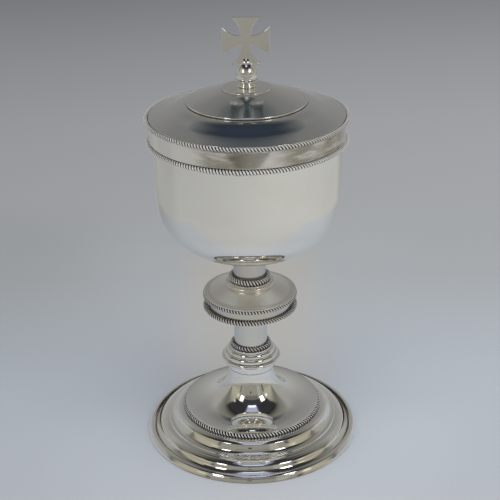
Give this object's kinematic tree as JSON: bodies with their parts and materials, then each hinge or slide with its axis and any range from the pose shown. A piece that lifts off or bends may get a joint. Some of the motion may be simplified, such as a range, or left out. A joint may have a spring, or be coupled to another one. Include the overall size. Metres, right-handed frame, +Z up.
{
  "type": "lidded ciborium",
  "caption": "Silver ciborium with a deep bowl, knopped stem and stepped trumpet foot, and a domed lid with a cross finial.",
  "frame": {"origin": "centre of the foot, on the surface that the ciborium stands on", "axes": "+Z up the stem's axis to the cross, +X along the cross's arms, -Y towards the viewer"},
  "size_m": [0.1292, 0.1292, 0.2567],
  "materials": {
    "silver": "mirror-polished silver",
    "tarnished_silver": "polished on the high parts, brown tarnish in the twist",
    "brass": "turned, satin"
  },
  "bodies": {
    "cup": {"foot": "silver", "foot_rim_moulding": "silver", "foot_rope_wire": "tarnished_silver", "base_collar": "silver", "lower_stem_rope_wire": "tarnished_silver", "lower_stem_tube": "silver", "upper_stem_rope_wire": "tarnished_silver", "upper_stem_tube": "silver", "knop_lower_shell": "silver", "knop_band": "silver", "knop_lower_rope_wire": "tarnished_silver", "knop_upper_rope_wire": "tarnished_silver", "knop_upper_shell": "silver", "knop_collar": "silver", "bowl": "silver", "bowl_rope_wire": "tarnished_silver", "bowl_boss": "brass", "tie_rod": "brass", "tie_rod_washer": "brass", "tie_rod_nut": "brass"},
    "lid": {"lid_skirt": "silver", "lid_rope_wire": "tarnished_silver", "lid_dome": "silver", "lid_centre_plate": "silver", "finial_plate": "silver", "finial_baluster": "silver", "finial_cross": "silver", "finial_stud": "brass", "finial_washer": "brass", "finial_nut": "brass"}
  },
  "joints": [
    {"name": "lid_lift", "type": "slide", "parent": "cup", "child": "lid", "axis": [0, 0, 1], "range_m": [0, 0.08]}
  ]
}
